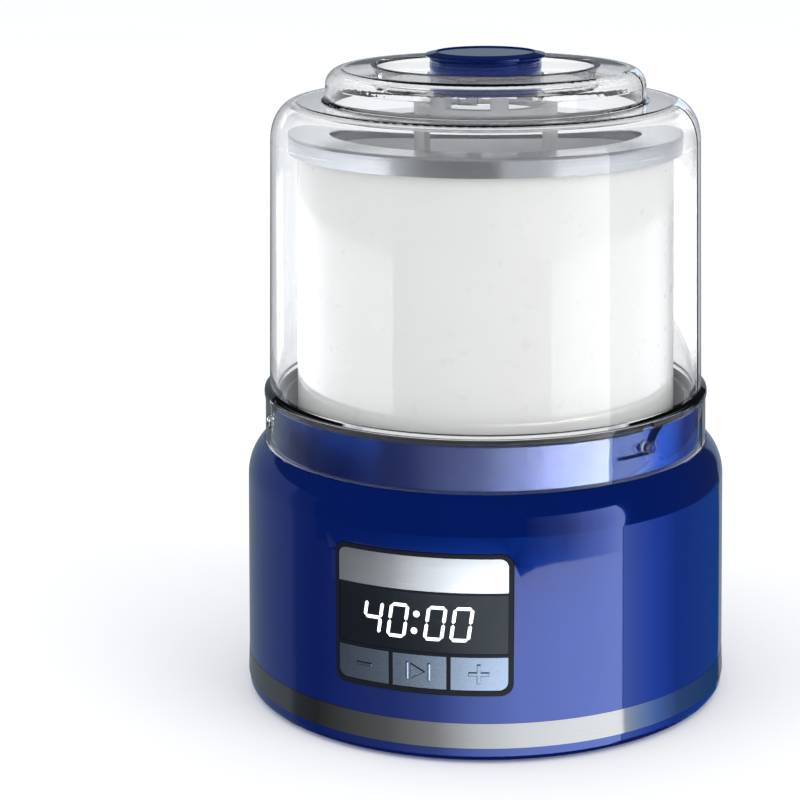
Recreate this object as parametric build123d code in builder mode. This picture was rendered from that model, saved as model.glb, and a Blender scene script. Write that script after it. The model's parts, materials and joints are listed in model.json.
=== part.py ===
from build123d import *
import math
import os

os.makedirs("parts", exist_ok=True)

# Frozen-yogurt maker: powered base, spinning freezer bowl, fixed paddle, clear lid, fill cap.
# Millimetres. The origin is on the floor under the centre of the bowl, +Z is up and
# the control panel faces -Y. An azimuth is counted from -Y, towards +X.

# ---------------------------------------------------------------- driving dimensions
foot_h = 1.0                                  # height of the base's underside over the floor, on its feet
base_r = 101.5                                # base wall at the trim band
wall_top_r = 100.1                            # base wall where the shoulder starts
trim_z0, trim_z1 = 6.8, 17.1                  # brushed band round the foot of the base
shoulder_z, shoulder_r = 92.7, 20.0           # rounding at the top of the base
ledge_r, ledge_z = 93.3, 107.4                # ledge that the lid's skirt stands over
collar_r, collar_top = 89.9, 126.4            # collar inside the skirt
wall_t = 3.0                                  # moulded wall of the base
well_r, well_floor = 83.6, 77.5               # well that the bowl sits in

skirt_r, lid_wall = 92.7, 2.2                 # lid: skirt radius and wall
dome_r0, dome_r1 = 90.4, 88.0                 # lid wall above the lip, and at the corner
lip_z = 131.2                                 # top of the lid's lip
deck_z = 248.8                                # flat shoulder of the lid
corner_a, corner_b = 11.0, 16.0               # half axes of the lid's rounded corner
ring_r, ring_top = 65.4, 262.0                # raised ring on the lid
ring_a, ring_b = 7.4, 7.0                     # half axes of the ring's outer rounding
recess_r, recess_z = 42.7, 257.5              # dished centre of the lid
neck_r, neck_bore_r, neck_top = 23.9, 21.7, 259.2
lug_azimuths = (60, 180, 300)                 # bayonet lugs
lug_z, lug_r, lug_reach = 118.8, 2.3, 88.3
twist = 8.5                                   # degrees from dropped on to locked
bead_z0, bead_z1 = 127.2, 128.6               # bead round the top of the skirt

bowl_r0, bowl_r1 = 79.5, 77.2                 # freezer bowl, at the bottom and under the rim
bowl_z0, bowl_z1 = 81.3, 228.7
rim_r, rim_top = 80.8, 236.2
liner_r, liner_floor = 62.0, 96.0

panel_w, panel_z0, panel_z1 = 72.2, 28.7, 86.1
panel_corner = 4.6
border, border_low = 1.7, 2.4                 # black frame round the strip, glass and buttons
strip_z0 = 70.6                               # foot of the silver strip
button_z1 = 44.5                              # top of the buttons
button_w, button_pitch, button_travel = 21.8, 23.5, 0.8
glass_z0 = 45.8
front_y, front_reach = 60.0, 60.0             # panel outlines stand this far out, and are extruded this far

hub_teeth, idler_pinion_teeth, hub_module = 60, 12, 1.5
idler_teeth, motor_teeth, motor_module = 60, 12, 1.0
gear_gap = (hub_teeth + idler_pinion_teeth) * hub_module / 2
motor_gap = (idler_teeth + motor_teeth) * motor_module / 2
motor_bearing = -45.0                         # direction from the idler's axle to the motor
idler_x, idler_y = 0.0, gear_gap
motor_x = idler_x + motor_gap * math.cos(math.radians(motor_bearing))
motor_y = idler_y + motor_gap * math.sin(math.radians(motor_bearing))
motor_screw_ring = 16.0
motor_screw_places = ((motor_x, motor_y - motor_screw_ring), (motor_x, motor_y + motor_screw_ring))
plate_z0, plate_z1 = 44.0, 46.5               # steel plate that carries the gears
case_top = 72.0
shaft_r, axle_r = 6.0, 3.0
running = 0.05                                # radial play of a shaft in its bush
gap = 0.3                                     # clearance between pieces that move apart
socket_flats = 24.6                           # hexagonal drive socket under the bowl


# ---------------------------------------------------------------- helpers
def wall_radius(z):
    """Radius of the drafted base wall at height z."""
    return base_r + (wall_top_r - base_r) * (z - trim_z1) / (shoulder_z - trim_z1)


def radial_plane(azimuth, radius, z):
    """Plane that faces outward at an azimuth: its X runs round the body, its Y is up."""
    a = math.radians(azimuth)
    out = (math.sin(a), -math.cos(a), 0)
    along = (math.cos(a), math.sin(a), 0)
    return Plane(origin=(radius * out[0], radius * out[1], z), x_dir=along, z_dir=out)


def ring(r_in, r_out, z):
    """Flat ring or disc at height z."""
    with BuildSketch(Plane.XY.offset(z)) as s:
        Circle(r_out)
        if r_in > 0:
            Circle(r_in, mode=Mode.SUBTRACT)
    return s.sketch


def outline(*points):
    """Closed profile in the plane of the axis, from (radius, height) points."""
    with BuildSketch(Plane.XZ) as s:
        with BuildLine():
            Polyline(*points, close=True)
        make_face()
    return s.sketch


def discs(radius, z, *centres):
    """Equal discs at height z."""
    with BuildSketch(Plane.XY.offset(z)) as s:
        with Locations(*centres):
            Circle(radius)
    return s.sketch


def wall_layer(z0, z1, inner, outer):
    """Profile of a layer that follows the drafted wall, inner and outer being offsets from it."""
    return outline((wall_radius(z0) + inner, z0), (wall_radius(z0) + outer, z0),
                   (wall_radius(z1) + outer, z1), (wall_radius(z1) + inner, z1))


def panel_face(x0, x1, z0, z1, grow=0.0, inset=True):
    """Part of the panel's rounded outline between two widths and two heights, seen from the front."""
    low = panel_z0 + (border_low if inset else 0)
    high = panel_z1 - (border if inset else 0)
    wide = panel_w - (2 * border if inset else 0)
    corner = panel_corner - (border * 0.7 if inset else 0)
    with BuildSketch(Plane.XZ.offset(front_y)) as s:
        with Locations((0, (low + high) / 2)):
            RectangleRounded(wide + 2 * grow, high - low + 2 * grow, corner + grow)
        with Locations(((x0 + x1) / 2, (z0 + z1) / 2)):
            Rectangle(x1 - x0 + 2 * grow, z1 - z0 + 2 * grow, mode=Mode.INTERSECT)
    return s.sketch


def whole_panel(grow=0.0):
    """The panel's rounded outline from the front, grown on all sides."""
    return panel_face(-panel_w, panel_w, 0, 2 * panel_z1, grow, inset=False)


def gear_face(teeth, module, phase, x, y, z):
    """Spur gear with straight-flanked teeth, one of them centred on the direction phase."""
    pitch_r = teeth * module / 2
    root, tip = pitch_r - 1.25 * module, pitch_r + 0.85 * module
    half_root, half_tip = 0.62 * module, 0.30 * module
    with BuildSketch(Plane.XY.offset(z)) as s:
        with Locations((x, y)):
            Circle(root)
        with Locations((x, y)):
            with PolarLocations(0, teeth, start_angle=phase):
                Polygon((root - 0.5, -half_root), (tip, -half_tip), (tip, half_tip), (root - 0.5, half_root),
                        align=None)
    return s.sketch


def save(piece, name):
    """Label a finished piece and write it to its own file."""
    piece.part.label = name
    export_step(piece.part, f"parts/{name}.step")


# ---------------------------------------------------------------- base housing
shoulder_cx = wall_top_r - shoulder_r


def housing_profile():
    """Section of the blue housing: wall, rounded shoulder, ledge and collar."""
    end = math.acos((ledge_r - shoulder_cx) / shoulder_r)
    mid = end / 2
    inner = shoulder_r - wall_t
    collar_in = well_r + 2.0
    inner_end = math.acos((collar_in - shoulder_cx) / inner)
    groove_r = base_r - 0.9
    with BuildSketch(Plane.XZ) as s:
        with BuildLine():
            Polyline((base_r - wall_t, trim_z0 + 0.1), (groove_r, trim_z0 + 0.1), (groove_r, trim_z1 + 0.1),
                     (base_r, trim_z1 + 0.1), (wall_top_r, shoulder_z))
            ThreePointArc((wall_top_r, shoulder_z),
                          (shoulder_cx + shoulder_r * math.cos(mid), shoulder_z + shoulder_r * math.sin(mid)),
                          (ledge_r, shoulder_z + shoulder_r * math.sin(end)))
            Polyline((ledge_r, shoulder_z + shoulder_r * math.sin(end)), (ledge_r - 0.3, ledge_z),
                     (collar_r, ledge_z), (collar_r, collar_top - 0.5), (collar_r - 0.5, collar_top),
                     (collar_in, collar_top),
                     (collar_in, shoulder_z + inner * math.sin(inner_end)))
            ThreePointArc((collar_in, shoulder_z + inner * math.sin(inner_end)),
                          (shoulder_cx + inner * math.cos(inner_end / 2),
                           shoulder_z + inner * math.sin(inner_end / 2)),
                          (wall_top_r - wall_t, shoulder_z))
            Polyline((wall_top_r - wall_t, shoulder_z), (base_r - wall_t, trim_z1),
                     (base_r - wall_t, trim_z0 + 0.1))
        make_face()
    return s.sketch


boss_r, boss_ring, boss_top = 4.5, 91.0, 40.0
boss_foot, boss_bore_r, boss_bore_depth = trim_z0 + 1, 1.6, 20.0
rib_w, rib_reach = 3.0, 5.0                   # rib from each boss to the wall
boss_azimuths = (45, 135, 225, 315)
boss_places = [radial_plane(a, boss_ring, 0).origin for a in boss_azimuths]
gland_z, gland_side, gland_corner, gland_fit = 27.0, 14.0, 3.0, 0.05

# One bayonet slot: straight entry with a curved lead-in, and a level leg towards the lock.
slot_half = lug_r + 0.5
slot_floor = lug_reach - 0.4
slot_entry = collar_top - lug_z + 1           # height of the entry above the leg
slot_leg = collar_r * math.tan(math.radians(twist)) + 1.0
lead_in, lead_in_r = 13.0, 14.0
with BuildPart() as slot_cutter:
    with BuildSketch(radial_plane(lug_azimuths[0], 70, lug_z)):
        with BuildLine():
            Line((-slot_half, 0), (-slot_half, slot_entry))
            Line((-slot_half, slot_entry), (lead_in, slot_entry))
            RadiusArc((lead_in, slot_entry), (slot_half, 0), -lead_in_r)
            Line((slot_half, 0), (-slot_half, 0))
        make_face()
        Circle(slot_half)
        with Locations((-slot_leg / 2, 0)):
            SlotOverall(slot_leg + 2 * slot_half, 2 * slot_half)
    extrude(amount=26)
    with BuildSketch(Plane.XY.offset(collar_top - 30)):
        Circle(slot_floor)
    extrude(amount=40, mode=Mode.SUBTRACT)

with BuildPart() as base_housing:
    revolve(housing_profile(), axis=Axis.Z)
    add([slot_cutter.part.rotate(Axis.Z, a - lug_azimuths[0]) for a in lug_azimuths], mode=Mode.SUBTRACT)
    extrude(whole_panel(0.15), amount=front_reach, mode=Mode.SUBTRACT)
    extrude(discs(boss_r, boss_foot, *boss_places), amount=boss_top - boss_foot)
    for azimuth in boss_azimuths:
        with BuildSketch(radial_plane(azimuth, boss_ring + 3, (boss_top + boss_foot) / 2)):
            Rectangle(rib_w, boss_top - boss_foot)
        extrude(amount=rib_reach)
    extrude(discs(boss_bore_r, boss_foot, *boss_places), amount=boss_bore_depth, mode=Mode.SUBTRACT)
    with BuildSketch(radial_plane(180, 90, gland_z)):
        RectangleRounded(gland_side + 2 * gland_fit, gland_side + 2 * gland_fit, gland_corner + gland_fit)
    extrude(amount=15, mode=Mode.SUBTRACT)
save(base_housing, "base_housing")

with BuildPart() as trim_band:
    revolve(outline((base_r - 0.85, trim_z0 + 0.1), (base_r + 0.5, trim_z0 + 0.1), (base_r + 0.05, trim_z1),
                    (base_r - 0.85, trim_z1)), axis=Axis.Z)
save(trim_band, "trim_band")

# ---------------------------------------------------------------- bottom cover, feet and screws
foot_ring, foot_r, foot_pocket = 76.0, 8.0, 1.5
foot_places = [radial_plane(a, foot_ring, 0).origin for a in (0, 90, 180, 270)]
cover_top = 5.0
cover_rim_r = 97.0                            # inside of the cover's raised rim
cover_edge_r = 2.8                            # rounding of the cover's lower edge
head_r, head_h, hole_r, screw_r = 3.2, 1.4, 2.0, 1.55

with BuildPart() as bottom_cover:
    with BuildSketch(Plane.XZ):
        with BuildLine():
            Polyline((0, foot_h), (base_r - cover_edge_r, foot_h))
            RadiusArc((base_r - cover_edge_r, foot_h), (base_r, foot_h + cover_edge_r), -cover_edge_r)
            Polyline((base_r, foot_h + cover_edge_r), (base_r, trim_z0), (cover_rim_r, trim_z0),
                     (cover_rim_r, cover_top), (0, cover_top), (0, foot_h))
        make_face()
    revolve(axis=Axis.Z)
    extrude(discs(foot_r + 0.1, foot_h, *foot_places), amount=foot_pocket, mode=Mode.SUBTRACT)
    extrude(discs(head_r + 0.4, foot_h, *boss_places), amount=head_h + 0.2, mode=Mode.SUBTRACT)
    extrude(discs(boss_r, cover_top, *boss_places), amount=boss_foot - cover_top)
    extrude(discs(hole_r, foot_h, *boss_places), amount=10, mode=Mode.SUBTRACT)
    with BuildSketch(Plane.XY.offset(foot_h)):
        with PolarLocations(34, 12, start_angle=15):
            SlotOverall(22, 3)
    extrude(amount=10, mode=Mode.SUBTRACT)
save(bottom_cover, "bottom_cover")

with BuildPart() as rubber_feet:
    extrude(discs(foot_r, 0, *foot_places), amount=foot_h + foot_pocket)
    chamfer(rubber_feet.edges().group_by(Axis.Z)[0], 0.6)
save(rubber_feet, "rubber_feet")

with BuildPart() as bottom_screws:
    extrude(discs(head_r, foot_h + 0.2, *boss_places), amount=head_h)
    extrude(discs(screw_r, foot_h + 0.2 + head_h, *boss_places), amount=boss_bore_depth)
    with BuildSketch(Plane.XY.offset(foot_h + 0.2)):
        with Locations(*boss_places):
            Rectangle(3.4, 0.8)
            Rectangle(0.8, 3.4)
    extrude(amount=0.8, mode=Mode.SUBTRACT)
save(bottom_screws, "bottom_screws")

# ---------------------------------------------------------------- control panel
bezel_back, flange_back = -4.0, -6.0
glass_back, strip_back = -2.0, -1.4
button_centres = (-button_pitch, 0.0, button_pitch)
stem_r, stem_end, switch_bore_r = 1.5, 89.0, 1.8
board_front, board_t = 86.0, 1.6
board_holes = ((-30, 27), (30, 27), (-30, 74), (30, 74))
half_inner = panel_w / 2 - border
glass_z1 = strip_z0 - 0.9
button_z = (panel_z0 + border_low + button_z1) / 2
button_fit, fit = 0.25, 0.05                  # play round a button, and round a piece that is glued in


def button_face(centre, grow=0.0):
    """Outline of one button from the front; the outer two take the panel's rounded corners."""
    return panel_face(centre - button_w / 2, centre + button_w / 2, panel_z0 + border_low, button_z1, grow)


with BuildPart() as bezel_flange:
    extrude(whole_panel(3.5), amount=front_reach)
    revolve(wall_layer(panel_z0 - 5, panel_z1 + 5, flange_back, -wall_t - 0.05), axis=Axis.Z,
            mode=Mode.INTERSECT)
    extrude(panel_face(-half_inner, half_inner, 0, strip_z0 - 1, 0.9), amount=front_reach, mode=Mode.SUBTRACT)

with BuildPart() as bezel_front:
    extrude(whole_panel(), amount=front_reach)
    revolve(wall_layer(panel_z0 - 5, panel_z1 + 5, bezel_back, 0.6), axis=Axis.Z, mode=Mode.INTERSECT)
    front_face = bezel_front.faces().filter_by(GeomType.CONE).sort_by(SortBy.AREA)[-1]
    chamfer(front_face.outer_wire().edges(), 0.25)
    for centre in button_centres:
        extrude(button_face(centre, button_fit), amount=front_reach, mode=Mode.SUBTRACT)
    extrude(panel_face(-half_inner, half_inner, glass_z0 + 3, strip_z0 - 4), amount=front_reach,
            mode=Mode.SUBTRACT)
    add(bezel_flange.part)

with BuildPart() as pocket_cutter:
    extrude(panel_face(-half_inner, half_inner, strip_z0, panel_z1), amount=front_reach)
    revolve(wall_layer(panel_z0, panel_z1 + 5, strip_back, 3), axis=Axis.Z, mode=Mode.INTERSECT)

with BuildPart() as glass_cutter:
    extrude(panel_face(-half_inner, half_inner, glass_z0, glass_z1), amount=front_reach)
    revolve(wall_layer(panel_z0, panel_z1 + 5, glass_back, 3), axis=Axis.Z, mode=Mode.INTERSECT)

with BuildPart() as panel_bezel:
    add(bezel_front.part)
    add(pocket_cutter.part, mode=Mode.SUBTRACT)
    add(glass_cutter.part, mode=Mode.SUBTRACT)
    with BuildSketch(Plane.XZ.offset(board_front)):
        with Locations(*board_holes):
            Circle(2.6)
    extrude(amount=6.5)
    with BuildSketch(Plane.XZ.offset(board_front)):
        with Locations(*board_holes):
            Circle(1.0)
    extrude(amount=5.2, mode=Mode.SUBTRACT)
save(panel_bezel, "panel_bezel")

with BuildPart() as panel_strip:
    extrude(panel_face(-half_inner, half_inner, strip_z0, panel_z1, -fit), amount=front_reach)
    revolve(wall_layer(panel_z0, panel_z1 + 5, strip_back, 0.5), axis=Axis.Z, mode=Mode.INTERSECT)
save(panel_strip, "panel_strip")

digit_h, digit_w, stroke = 14.2, 8.0, 1.35
segment_gap = 0.2                             # from the end of a segment to its corner
digit_centres = (-19.4, -8.8, 6.4, 16.8)
digit_text = "4000"
colon_x, colon_r = -1.6, 1.3
digit_z = 57.8
slant = math.tan(math.radians(8))
lit = {"4": "bcfg", "0": "abcdef"}


def segment_points(name):
    """Corners of one bevelled segment of a digit, about the digit's centre, before the slant."""
    w, h, t = (digit_w - stroke) / 2, (digit_h - stroke) / 2, stroke / 2
    if name in "adg":
        z = {"a": h, "d": -h, "g": 0}[name]
        x = w - segment_gap
        return [(-x, z), (-x + t, z + t), (x - t, z + t), (x, z), (x - t, z - t), (-x + t, z - t)]
    x = w if name in "bc" else -w
    low, high = (segment_gap, h - segment_gap) if name in "bf" else (segment_gap - h, -segment_gap)
    return [(x, low), (x + t, low + t), (x + t, high - t), (x, high), (x - t, high - t), (x - t, low + t)]


with BuildPart() as timer_digits:
    with BuildSketch(Plane.XZ.offset(front_y)):
        for centre, digit in zip(digit_centres, digit_text):
            for name in lit[digit]:
                points = [(centre + x + slant * z, digit_z + z) for x, z in segment_points(name)]
                with BuildLine():
                    Polyline(*points, close=True)
                make_face()
        with Locations((colon_x + 0.5, digit_z + 3.3), (colon_x - 0.5, digit_z - 3.6)):
            Circle(colon_r)
    extrude(amount=front_reach)
    revolve(wall_layer(panel_z0, panel_z1, -0.8, 0.36), axis=Axis.Z, mode=Mode.INTERSECT)
save(timer_digits, "timer_digits")

with BuildPart() as display_window:
    extrude(panel_face(-half_inner, half_inner, glass_z0, glass_z1, -fit), amount=front_reach)
    revolve(wall_layer(panel_z0, panel_z1, glass_back, 0.3), axis=Axis.Z, mode=Mode.INTERSECT)
    add(timer_digits.part, mode=Mode.SUBTRACT)
save(display_window, "display_window")

for centre, name in zip(button_centres, ("button_minus", "button_start", "button_plus")):
    with BuildPart() as button_body:
        extrude(button_face(centre), amount=front_reach)
        revolve(wall_layer(panel_z0, panel_z1, -2.6, 0.6), axis=Axis.Z, mode=Mode.INTERSECT)
        front_face = button_body.faces().filter_by(GeomType.CONE).sort_by(SortBy.AREA)[-1]
        chamfer(front_face.outer_wire().edges(), 0.4)
    with BuildPart() as button:
        add(button_body.part)
        with BuildSketch(Plane.XZ.offset(stem_end)):
            with Locations((centre, button_z)):
                Circle(stem_r)
        wall_front = math.sqrt(wall_radius(button_z) ** 2 - centre ** 2)
        extrude(amount=wall_front - 1.5 - stem_end)
    save(button, name)

with BuildPart() as tact_switches:
    with BuildSketch(Plane.XZ.offset(board_front)):
        with Locations(*[(centre, button_z) for centre in button_centres]):
            Rectangle(6, 6)
    extrude(amount=3.6)
    with BuildSketch(Plane.XZ.offset(board_front + 1.2)):
        with Locations(*[(centre, button_z) for centre in button_centres]):
            Circle(switch_bore_r)
    extrude(amount=5, mode=Mode.SUBTRACT)
save(tact_switches, "tact_switches")

with BuildPart() as display_module:
    with BuildSketch(Plane.XZ.offset(board_front)):
        with Locations((0, digit_z)):
            Rectangle(50, 16.5)
    extrude(amount=7)
save(display_module, "display_module")

with BuildPart() as control_board:
    with BuildSketch(Plane.XZ.offset(board_front - board_t)):
        with Locations((0, 50)):
            Rectangle(72, 52)
        with Locations(*board_holes):
            Circle(1.2, mode=Mode.SUBTRACT)
    extrude(amount=board_t)
    with BuildSketch(Plane.XZ.offset(board_front - board_t)):
        with Locations((-12, 52)):
            Rectangle(12, 12)
        with Locations((14, 60)):
            Rectangle(9, 6)
    extrude(amount=-1.5)
save(control_board, "control_board")

with BuildPart() as board_screws:
    with BuildSketch(Plane.XZ.offset(board_front - board_t)):
        with Locations(*board_holes):
            Circle(2.2)
    extrude(amount=-1.4)
    with BuildSketch(Plane.XZ.offset(board_front - board_t)):
        with Locations(*board_holes):
            Circle(0.95)
    extrude(amount=6)
save(board_screws, "board_screws")

# ---------------------------------------------------------------- well, bushes and shaft seal
well_wall = 1.8
well_corner = 6.0
ears = ((54.5, 0), (-54.5, 0), (34, 73), (-34, 73))
ear_r, ear_bore_r = 6.0, 1.7
seal_pocket_r = 10.0

with BuildPart() as bowl_well:
    with BuildSketch(Plane.XZ):
        with BuildLine():
            Polyline((0, well_floor), (well_r - well_corner, well_floor))
            RadiusArc((well_r - well_corner, well_floor), (well_r, well_floor + well_corner), -well_corner)
            Polyline((well_r, well_floor + well_corner), (well_r, collar_top),
                     (well_r + well_wall, collar_top), (well_r + well_wall, well_floor + well_corner))
            RadiusArc((well_r + well_wall, well_floor + well_corner),
                      (well_r - well_corner, well_floor - well_wall), well_corner + well_wall)
            Polyline((well_r - well_corner, well_floor - well_wall), (0, well_floor - well_wall),
                     (0, well_floor))
        make_face()
    revolve(axis=Axis.Z)
    extrude(discs(5.0, case_top, *ears), amount=well_floor - well_wall - case_top)
    extrude(discs(1.5, case_top, *ears), amount=3.6, mode=Mode.SUBTRACT)
    extrude(ring(0, seal_pocket_r, well_floor - 5), amount=10, mode=Mode.SUBTRACT)
save(bowl_well, "bowl_well")

with BuildPart() as shaft_seal:
    extrude(ring(shaft_r + running, seal_pocket_r, well_floor - well_wall), amount=well_wall + 0.8)
    extrude(ring(shaft_r + running, 8.0, well_floor - well_wall - 2.5), amount=2.6)
save(shaft_seal, "shaft_seal")

# ---------------------------------------------------------------- gearbox
lobe_r, idler_lobe_r, case_wall = 51.0, 34.5, 2.5
bush_r, bush_flange_r, motor_boss_r = 9.0, 11.0, 8.0
idler_hub_z0 = 48.0
wheel_z0, wheel_z1 = 49.5, 55.5
pinion_z1 = 67.0
gear_z0, gear_z1 = 58.0, 66.0


def case_face(z, inset=0.0):
    """Outline round both gears at height z."""
    with BuildSketch(Plane.XY.offset(z)) as s:
        Circle(lobe_r - inset)
        with Locations((idler_x, idler_y)):
            Circle(idler_lobe_r - inset)
        make_hull()
    return s.sketch


with BuildPart() as gear_plate:
    extrude(case_face(plate_z0), amount=plate_z1 - plate_z0)
    extrude(discs(ear_r, plate_z0, *ears), amount=plate_z1 - plate_z0)
    extrude(discs(ear_bore_r, plate_z0, *ears), amount=5, mode=Mode.SUBTRACT)
    extrude(discs(bush_r, plate_z0, (0, 0)), amount=5, mode=Mode.SUBTRACT)
    extrude(discs(axle_r, plate_z0, (idler_x, idler_y)), amount=5, mode=Mode.SUBTRACT)
    extrude(discs(motor_boss_r, plate_z0, (motor_x, motor_y)), amount=5, mode=Mode.SUBTRACT)
    extrude(discs(ear_bore_r, plate_z0, *motor_screw_places), amount=5, mode=Mode.SUBTRACT)
save(gear_plate, "gear_plate")

with BuildPart() as gearbox_case:
    extrude(case_face(plate_z1), amount=case_top - plate_z1)
    extrude(case_face(plate_z1, case_wall), amount=case_top - plate_z1 - 3, mode=Mode.SUBTRACT)
    with BuildSketch(Plane.XY.offset(plate_z1)):
        with Locations(*ears):
            Circle(ear_r)
        add(case_face(0, case_wall - 0.5), mode=Mode.SUBTRACT)
    extrude(amount=case_top - plate_z1)
    extrude(discs(ear_bore_r, plate_z1, *ears), amount=40, mode=Mode.SUBTRACT)
    extrude(discs(bush_r, plate_z1, (0, 0)), amount=40, mode=Mode.SUBTRACT)
    extrude(discs(axle_r, plate_z1, (idler_x, idler_y)), amount=40, mode=Mode.SUBTRACT)
save(gearbox_case, "gearbox_case")

with BuildPart() as gearbox_screws:
    extrude(discs(3.2, plate_z0 - 2.2, *ears), amount=2.2)
    extrude(discs(1.45, plate_z0, *ears), amount=case_top + 3.2 - plate_z0)
save(gearbox_screws, "gearbox_screws")

with BuildPart() as shaft_bushes:
    extrude(ring(shaft_r + running, bush_r, plate_z0 - 0.5), amount=plate_z1 - plate_z0 + 0.5)
    extrude(ring(shaft_r + running, bush_flange_r, plate_z1), amount=1.0)
    extrude(ring(shaft_r + running, bush_r, case_top - 3), amount=3)
    extrude(ring(shaft_r + running, bush_flange_r, case_top - 4), amount=1.0)
save(shaft_bushes, "shaft_bushes")

with BuildPart() as idler_axle:
    extrude(discs(axle_r, plate_z0, (idler_x, idler_y)), amount=case_top - plate_z0)
save(idler_axle, "idler_axle")

# Meshing phases: a tooth of each driving gear points at the other axle, a gap faces it.
idler_pinion_phase = -90 + 180 / idler_pinion_teeth
idler_wheel_phase = motor_bearing
motor_phase = motor_bearing + 180 + 180 / motor_teeth

with BuildPart() as idler_gear:
    extrude(gear_face(idler_teeth, motor_module, idler_wheel_phase, idler_x, idler_y, wheel_z0),
            amount=wheel_z1 - wheel_z0)
    extrude(gear_face(idler_pinion_teeth, hub_module, idler_pinion_phase, idler_x, idler_y, wheel_z1),
            amount=pinion_z1 - wheel_z1)
    extrude(discs(5.5, idler_hub_z0, (idler_x, idler_y)), amount=2)
    extrude(discs(axle_r + running, idler_hub_z0, (idler_x, idler_y)), amount=40, mode=Mode.SUBTRACT)
save(idler_gear, "idler_gear")

with BuildPart() as output_gear:
    extrude(gear_face(hub_teeth, hub_module, 90, 0, 0, gear_z0), amount=gear_z1 - gear_z0)
    extrude(ring(13, 36, gear_z0 - 1), amount=3.5, mode=Mode.SUBTRACT)
    extrude(ring(13, 36, gear_z1 - 2.5), amount=3.5, mode=Mode.SUBTRACT)
    extrude(ring(0, 11, plate_z1 + 1.5), amount=gear_z0 - plate_z1 - 1)
    extrude(ring(0, shaft_r, plate_z0), amount=40, mode=Mode.SUBTRACT)
save(output_gear, "output_gear")

dog_z0, dog_z1 = 78.8, 91.0
with BuildPart() as drive_shaft:
    extrude(ring(0, shaft_r, plate_z0 - 1.5), amount=dog_z1 - 2 - plate_z0 + 1.5)
    chamfer(drive_shaft.edges().group_by(Axis.Z)[0], 0.8)
save(drive_shaft, "drive_shaft")

with BuildPart() as drive_dog:
    extrude(ring(0, 30, dog_z0), amount=2.2)
    with BuildSketch(Plane.XY.offset(dog_z0 + 2.2)):
        RegularPolygon(socket_flats / 2 - gap, 6, major_radius=False)
    extrude(amount=dog_z1 - dog_z0 - 2.2)
    chamfer(drive_dog.edges().group_by(Axis.Z)[-1], 1.2)
    extrude(ring(0, shaft_r, dog_z0), amount=dog_z1 - 2 - dog_z0, mode=Mode.SUBTRACT)
save(drive_dog, "drive_dog")

# ---------------------------------------------------------------- motor
can_r, can_z0, magnet_t, magnet_h = 27.0, 12.0, 5.0, 22.0
armature_r, armature_h = 18.0, 20.0
motor_shaft_r = 2.5
cavity_r = 24.0
motor_xy = (motor_x, motor_y)


def at_motor(r_in, r_out, z):
    """Ring about the motor's axis at height z."""
    with BuildSketch(Plane.XY.offset(z)) as s:
        with Locations(motor_xy):
            Circle(r_out)
            if r_in > 0:
                Circle(r_in, mode=Mode.SUBTRACT)
    return s.sketch


with BuildPart() as motor_can:
    extrude(at_motor(0, can_r, can_z0), amount=plate_z0 - can_z0)
    extrude(at_motor(0, cavity_r, can_z0 + 3), amount=plate_z0 - can_z0 - 6, mode=Mode.SUBTRACT)
    extrude(at_motor(0, motor_boss_r, plate_z0), amount=plate_z1 - plate_z0)
    extrude(at_motor(0, motor_shaft_r + running, can_z0 + 1), amount=50, mode=Mode.SUBTRACT)
    extrude(discs(1.3, plate_z0 - 3, *motor_screw_places), amount=4, mode=Mode.SUBTRACT)
    fillet(motor_can.edges().filter_by(GeomType.CIRCLE).group_by(Axis.Z)[0].sort_by(SortBy.RADIUS)[-1], 2.0)
save(motor_can, "motor_can")

with BuildPart() as motor_magnets:
    extrude(at_motor(cavity_r - magnet_t, cavity_r, can_z0 + 5), amount=magnet_h)
    with BuildSketch(Plane.XY.offset(can_z0 + 5)):
        with Locations(motor_xy):
            Rectangle(3 * cavity_r, 8)
    extrude(amount=magnet_h, mode=Mode.SUBTRACT)
save(motor_magnets, "motor_magnets")

with BuildPart() as motor_armature:
    extrude(at_motor(motor_shaft_r, armature_r, can_z0 + 6), amount=armature_h)
    with BuildSketch(Plane.XY.offset(can_z0 + 6)):
        with Locations(motor_xy):
            with PolarLocations(13.5, 5):
                SlotOverall(13, 5)
    extrude(amount=armature_h, mode=Mode.SUBTRACT)
save(motor_armature, "motor_armature")

with BuildPart() as motor_shaft:
    extrude(at_motor(0, motor_shaft_r, can_z0 + 1.5), amount=wheel_z1 + 1 - can_z0 - 1.5)
save(motor_shaft, "motor_shaft")

with BuildPart() as motor_pinion:
    extrude(gear_face(motor_teeth, motor_module, motor_phase, motor_x, motor_y, plate_z1 + 1.5),
            amount=wheel_z1 + 0.5 - plate_z1 - 1.5)
    extrude(at_motor(0, motor_shaft_r, plate_z1), amount=20, mode=Mode.SUBTRACT)
save(motor_pinion, "motor_pinion")

with BuildPart() as motor_screws:
    extrude(discs(3.0, plate_z1, *motor_screw_places), amount=1.2)
    extrude(discs(1.25, plate_z0 - 2.8, *motor_screw_places), amount=5.3)
save(motor_screws, "motor_screws")

# ---------------------------------------------------------------- power supply and cord gland
board_x, board_z = -52.0, 9.0

with BuildPart() as power_board:
    with BuildSketch(Plane.XY.offset(board_z)):
        with Locations((board_x, 0)):
            Rectangle(46, 84)
    extrude(amount=1.6)
    with BuildSketch(Plane.XY.offset(cover_top)):
        with Locations((board_x - 18, -36), (board_x + 18, -36), (board_x - 18, 36), (board_x + 18, 36)):
            Circle(3.0)
    extrude(amount=board_z - cover_top)
save(power_board, "power_board")

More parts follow.
